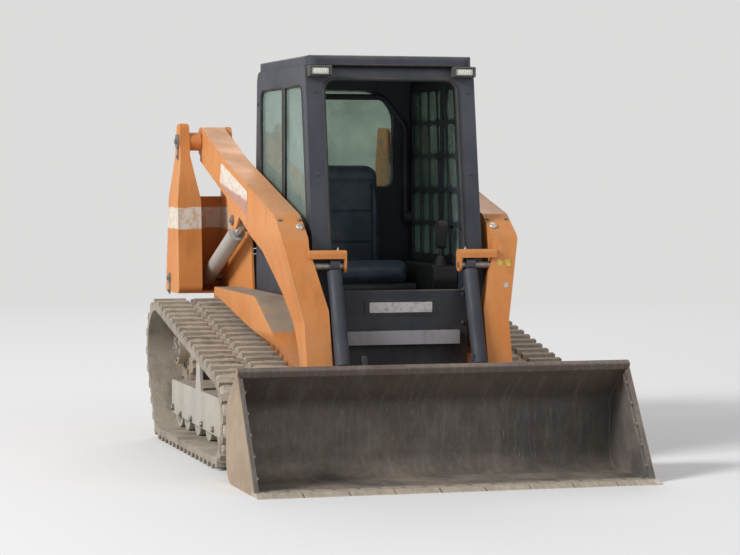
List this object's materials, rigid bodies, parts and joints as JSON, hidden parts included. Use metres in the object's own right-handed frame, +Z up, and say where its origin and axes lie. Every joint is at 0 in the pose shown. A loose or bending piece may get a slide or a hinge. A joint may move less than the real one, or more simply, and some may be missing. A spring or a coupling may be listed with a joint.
{
  "type": "tracked skid steer loader",
  "caption": "Compact loader on two rubber tracks, with an open-fronted cab, lift arms pivoted on rear towers and a wide low bucket.",
  "frame": {"origin": "on the ground, under the middle of the machine's overall length and width", "axes": "+X forward to the bucket, +Y to the machine's left, +Z up"},
  "size_m": [3.45, 1.98, 2.085],
  "materials": {
    "orange_paint": "satin",
    "dark_paint": "satin",
    "worn_steel": "worn",
    "tan_steel": "dusty",
    "bright_edge": "worn",
    "pins": "satin",
    "chrome": "polished",
    "grey_paint": "satin",
    "track_rubber": "dusty",
    "plastic": "matte",
    "seat_vinyl": "satin",
    "tinted_glass": "gloss",
    "lamp": "gloss",
    "tail_lamp": "gloss",
    "engine_grey": "rough"
  },
  "bodies": {
    "chassis": {"tub": "orange_paint", "engine_block": "engine_grey", "rear_bumper": "dark_paint", "front_step": "dark_paint", "tower_left": "orange_paint", "tower_right": "orange_paint", "track_frame_left": "grey_paint", "track_frame_right": "grey_paint", "track_wheels_left": "grey_paint", "track_wheels_right": "grey_paint", "sprocket_left": "tan_steel", "sprocket_right": "tan_steel", "track_left": "track_rubber", "track_right": "track_rubber", "chassis_pins": "pins", "console_left": "plastic", "console_right": "plastic", "joysticks": "plastic", "cab_frame": "dark_paint", "cab_roof": "dark_paint", "side_glass": "tinted_glass", "rear_glass": "tinted_glass", "side_screens": "dark_paint", "work_lamps": "lamp", "rear_lamps": "tail_lamp", "seat_base": "dark_paint", "seat_cushion": "seat_vinyl", "seat_back": "seat_vinyl"},
    "lift_arms": {"lift_arm_left": "orange_paint", "lift_arm_right": "orange_paint", "arm_cross_tube": "orange_paint", "arm_pins": "pins"},
    "bucket_group": {"coupler": "dark_paint", "crank_pins": "pins", "coupler_levers": "dark_paint", "bucket": "worn_steel", "cutting_edge": "bright_edge"},
    "hood_body": {"hood": "dark_paint"},
    "rear_door_body": {"rear_door": "dark_paint"},
    "restraint_body": {"restraint_bar": "dark_paint"},
    "lift_barrel_left_body": {"lift_barrel_left": "grey_paint"},
    "lift_rod_left_body": {"lift_rod_left": "chrome"},
    "lift_barrel_right_body": {"lift_barrel_right": "grey_paint"},
    "lift_rod_right_body": {"lift_rod_right": "chrome"},
    "tilt_barrel_left_body": {"tilt_barrel_left": "dark_paint"},
    "tilt_rod_left_body": {"tilt_rod_left": "chrome"},
    "tilt_barrel_right_body": {"tilt_barrel_right": "dark_paint"},
    "tilt_rod_right_body": {"tilt_rod_right": "chrome"}
  },
  "joints": [
    {"name": "lift", "type": "hinge", "parent": "chassis", "child": "lift_arms", "pos_m": [-1.27, 0, 1.665], "axis": [0, -1, 0], "range_deg": [0, 65]},
    {"name": "tilt", "type": "hinge", "parent": "lift_arms", "child": "bucket_group", "pos_m": [0.945, 0, 0.17], "axis": [0, 1, 0], "range_deg": [-31, 106]},
    {"name": "hood_hinge", "type": "hinge", "parent": "chassis", "child": "hood_body", "pos_m": [-0.69, 0, 1.185], "axis": [0, 1, 0], "range_deg": [0, 50]},
    {"name": "rear_door_hinge", "type": "hinge", "parent": "chassis", "child": "rear_door_body", "pos_m": [-1.645, 0.427, 0.79], "axis": [0, 0, -1], "range_deg": [0, 100]},
    {"name": "restraint_hinge", "type": "hinge", "parent": "chassis", "child": "restraint_body", "pos_m": [-0.53, 0, 1.24], "axis": [0, 1, 0], "range_deg": [0, 95]},
    {"name": "lift_barrel_left_swing", "type": "hinge", "parent": "chassis", "child": "lift_barrel_left_body", "pos_m": [-1.4, 0.5525, 0.88], "axis": [0, -1, 0], "range_deg": [0, 38.5]},
    {"name": "lift_rod_left_slide", "type": "slide", "parent": "lift_barrel_left_body", "child": "lift_rod_left_body", "axis": [0.9406, 0, 0.3394], "range_m": [0, 0.626]},
    {"name": "tilt_barrel_left_swing", "type": "hinge", "parent": "lift_arms", "child": "tilt_barrel_left_body", "pos_m": [0.7, 0.357, 1.02], "axis": [0, -1, 0], "range_deg": [-1.2, 3.9]},
    {"name": "tilt_rod_left_slide", "type": "slide", "parent": "tilt_barrel_left_body", "child": "tilt_rod_left_body", "axis": [0.3366, 0, -0.9416], "range_m": [-0.047, 0.157]},
    {"name": "lift_barrel_right_swing", "type": "hinge", "parent": "chassis", "child": "lift_barrel_right_body", "pos_m": [-1.4, -0.5525, 0.88], "axis": [0, -1, 0], "range_deg": [0, 38.5]},
    {"name": "lift_rod_right_slide", "type": "slide", "parent": "lift_barrel_right_body", "child": "lift_rod_right_body", "axis": [0.9406, 0, 0.3394], "range_m": [0, 0.626]},
    {"name": "tilt_barrel_right_swing", "type": "hinge", "parent": "lift_arms", "child": "tilt_barrel_right_body", "pos_m": [0.7, -0.357, 1.02], "axis": [0, -1, 0], "range_deg": [-1.2, 3.9]},
    {"name": "tilt_rod_right_slide", "type": "slide", "parent": "tilt_barrel_right_body", "child": "tilt_rod_right_body", "axis": [0.3366, 0, -0.9416], "range_m": [-0.047, 0.157]}
  ],
  "couplings": [
    {"joint": "lift_barrel_left_swing", "follows": "lift", "ratio": 0.58},
    {"joint": "lift_rod_left_slide", "follows": "lift", "m_per_rad": 0.55},
    {"joint": "tilt_barrel_left_swing", "follows": "tilt", "ratio": 0.035},
    {"joint": "tilt_rod_left_slide", "follows": "tilt", "m_per_rad": 0.084},
    {"joint": "lift_barrel_right_swing", "follows": "lift", "ratio": 0.58},
    {"joint": "lift_rod_right_slide", "follows": "lift", "m_per_rad": 0.55},
    {"joint": "tilt_barrel_right_swing", "follows": "tilt", "ratio": 0.035},
    {"joint": "tilt_rod_right_slide", "follows": "tilt", "m_per_rad": 0.084}
  ]
}
